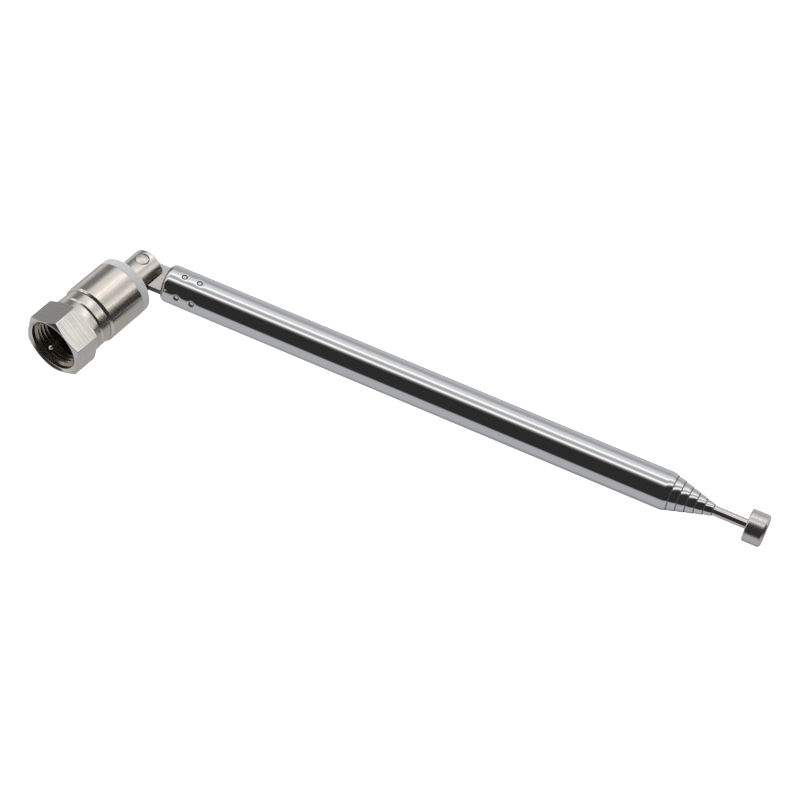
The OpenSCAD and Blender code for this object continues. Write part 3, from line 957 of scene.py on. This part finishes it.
def light():
    """Light tent with a dark open front, two long lamps overhead and a glowing floor."""
    world = bpy.data.worlds.new("light_tent")
    bpy.context.scene.world = world
    world.use_nodes = True
    n = Nodes(world.node_tree)
    n.tree.nodes.clear()
    ray = n.add("ShaderNodeTexCoord").outputs["Generated"]
    across = n.add("ShaderNodeVectorMath", {0: ray, 1: ACROSS}, operation="DOT_PRODUCT")
    height = n.add("ShaderNodeSeparateXYZ", {0: ray}).outputs["Z"]
    turn = n.math("ARCTAN2", across.outputs["Value"], height)
    factor = n.math("ADD", n.math("DIVIDE", turn, 2 * math.pi), 0.5)
    walls = n.ramp(factor, [((a + 180) / 360, colour) for a, colour in TENT_STOPS])
    glow = 0.0
    for angle, width, strength in LAMPS:
        away = n.math("DIVIDE", n.math("SUBTRACT", turn, math.radians(angle)), math.radians(width))
        bell = n.math("EXPONENT", n.math("MULTIPLY", n.math("MULTIPLY", away, away), -1.0))
        glow = n.math("ADD", n.math("MULTIPLY", bell, strength), glow)
    to_x = n.add("ShaderNodeSeparateXYZ", {0: ray}).outputs["X"]
    lifted = n.math("ADD", height, n.math("MULTIPLY", n.math("MAXIMUM", to_x, 0.0), FLOOR_SKEW))
    down = n.add("ShaderNodeMapRange", {
        "Value": lifted, "From Min": FLOOR_FAR, "From Max": FLOOR_NEAR,
        "To Min": 0.0, "To Max": 1.0,
    }, interpolation_type="SMOOTHSTEP").outputs["Result"]
    to_card = n.add("ShaderNodeVectorMath", {0: ray, 1: CARD}, operation="DOT_PRODUCT")
    shade = n.add("ShaderNodeMapRange", {
        "Value": to_card.outputs["Value"], "From Min": CARD_EDGE, "From Max": CARD_MIDDLE,
        "To Min": 1.0, "To Max": CARD_SHADE,
    }, interpolation_type="SMOOTHSTEP").outputs["Result"]
    sideways = n.add("ShaderNodeMapRange", {
        "Value": to_x, "From Min": 0.0, "From Max": SIDE_REACH,
        "To Min": 1.0, "To Max": SIDE_SHADE,
    }).outputs["Result"]
    under = n.add("ShaderNodeMapRange", {
        "Value": height, "From Min": -1.0, "From Max": UNDER_LEVEL,
        "To Min": UNDER_SHADE, "To Max": 1.0,
    }).outputs["Result"]
    tent = n.add("ShaderNodeBackground", {"Color": walls, "Strength": shade})
    lamps = n.add("ShaderNodeBackground", {"Color": (1, 0.985, 0.96, 1), "Strength": glow})
    above = n.add("ShaderNodeAddShader", {0: tent.outputs[0], 1: lamps.outputs[0]})
    below = n.add("ShaderNodeBackground", {
        "Color": FLOOR_GLOW, "Strength": n.math("MULTIPLY", sideways, under),
    })
    around = n.add("ShaderNodeMixShader", {0: down, 1: above.outputs[0], 2: below.outputs[0]})
    pale = n.add("ShaderNodeBackground", {"Color": (1, 1, 1, 1), "Strength": 1.0})
    fill = n.add("ShaderNodeBackground", {"Color": (1, 1, 1, 1), "Strength": FILL})
    path = n.add("ShaderNodeLightPath")
    more = n.add("ShaderNodeAddShader", {0: around.outputs[0], 1: fill.outputs[0]})
    matte = n.add("ShaderNodeMixShader", {
        0: path.outputs["Is Diffuse Ray"], 1: around.outputs[0], 2: more.outputs[0],
    })
    mix = n.add("ShaderNodeMixShader", {
        0: path.outputs["Is Camera Ray"], 1: matte.outputs[0], 2: pale.outputs[0],
    })
    n.add("ShaderNodeOutputWorld", {"Surface": mix.outputs[0]})


light()


# ---------------------------------------------------------------- camera

CAMERA_TARGET = Vector((27.32, -54.78, 5.24)) * MM
CAMERA_DISTANCE = 0.43
CAMERA_AZIMUTH = -149.402
CAMERA_ELEVATION = 50.506
CAMERA_ROLL = 8.622
CAMERA_LENS = 113.46


def camera():
    """Camera at the distance and angle of the photograph."""
    azimuth, elevation = math.radians(CAMERA_AZIMUTH), math.radians(CAMERA_ELEVATION)
    out = Vector((
        math.cos(elevation) * math.cos(azimuth),
        math.cos(elevation) * math.sin(azimuth),
        math.sin(elevation),
    ))
    data = bpy.data.cameras.new("camera")
    data.lens = CAMERA_LENS
    data.clip_start, data.clip_end = 0.01, 50
    obj = bpy.data.objects.new("camera", data)
    bpy.context.scene.collection.objects.link(obj)
    turn = (-out).to_track_quat("-Z", "Y").to_matrix().to_4x4()
    roll = Matrix.Rotation(math.radians(CAMERA_ROLL), 4, "Z")
    obj.matrix_world = Matrix.Translation(CAMERA_TARGET + out * CAMERA_DISTANCE) @ turn @ roll
    bpy.context.scene.camera = obj


camera()
view = bpy.context.scene.view_settings
view.view_transform = "Standard"
view.look = "None"
